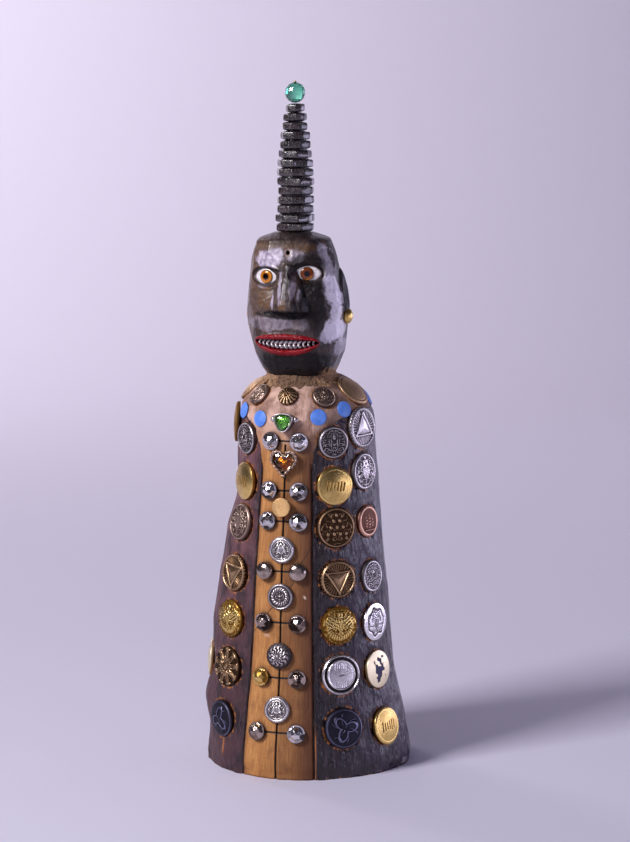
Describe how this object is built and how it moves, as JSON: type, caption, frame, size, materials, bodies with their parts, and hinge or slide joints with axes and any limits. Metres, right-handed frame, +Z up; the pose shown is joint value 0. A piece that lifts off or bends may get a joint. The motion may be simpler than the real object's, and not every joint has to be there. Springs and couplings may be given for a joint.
{
  "type": "carved totem figure",
  "caption": "Upright carved wooden figure in a long robe set with metal buttons, with a painted head, glass eyes, bead teeth and a tapering ringed headdress topped by a glass bead.",
  "frame": {"origin": "middle of the hem's flat underside", "axes": "+Z up, -Y the way the figure faces, +X to a viewer's right as they face it"},
  "size_m": [0.1272, 0.1247, 0.4167],
  "materials": {
    "wood": "carved, oiled in front and stained dark at the sides, chipped and worn",
    "paint": "carved wood under worn dark paint, half gloss",
    "brass": "stamped and polished, worn",
    "steel": "nickelled, stamped or faceted, tarnished",
    "bronze": "dark bronze colour with bright high places",
    "copper": "copper colour, stamped, worn",
    "blackened": "blackened metal with worn high places",
    "green": "faceted, clear",
    "amber": "moulded, clear, over a dark back",
    "sea_green": "round bead, clear"
  },
  "bodies": {
    "root": {"crown_bead": "sea_green", "earring_left": "brass", "earring_right": "brass", "eye_left": "amber", "eye_right": "amber", "head": "paint", "headdress": "paint", "heart_setting_amber": "brass", "heart_setting_green": "blackened", "heart_stone_amber": "amber", "heart_stone_green": "green", "inner_button_left_1": "blackened", "inner_button_left_2": "steel", "inner_button_left_3": "brass", "inner_button_left_4": "bronze", "inner_button_left_5": "bronze", "inner_button_left_6": "brass", "inner_button_left_7": "steel", "inner_button_right_1": "blackened", "inner_button_right_2": "steel", "inner_button_right_3": "brass", "inner_button_right_4": "bronze", "inner_button_right_5": "bronze", "inner_button_right_6": "brass", "inner_button_right_7": "steel", "outer_button_left_2": "brass", "outer_button_left_7": "steel", "outer_button_right_1": "brass", "outer_button_right_2": "brass", "outer_button_right_3": "steel", "outer_button_right_4": "steel", "outer_button_right_5": "copper", "outer_button_right_6": "steel", "outer_button_right_7": "steel", "panel_button_1": "steel", "panel_button_2": "steel", "panel_button_3": "blackened", "panel_button_4": "steel", "panel_button_5": "brass", "robe": "wood", "shoulder_button_left": "brass", "shoulder_button_right": "brass", "stud_left_1": "steel", "stud_left_2": "steel", "stud_left_3": "steel", "stud_left_4": "steel", "stud_left_5": "steel", "stud_left_6": "steel", "stud_left_7": "steel", "stud_right_1": "steel", "stud_right_2": "steel", "stud_right_3": "steel", "stud_right_4": "steel", "stud_right_5": "steel", "stud_right_6": "steel", "stud_right_7": "steel", "teeth": "steel", "yoke_button_left": "steel", "yoke_button_middle": "bronze", "yoke_button_right": "bronze"}
  },
  "joints": []
}
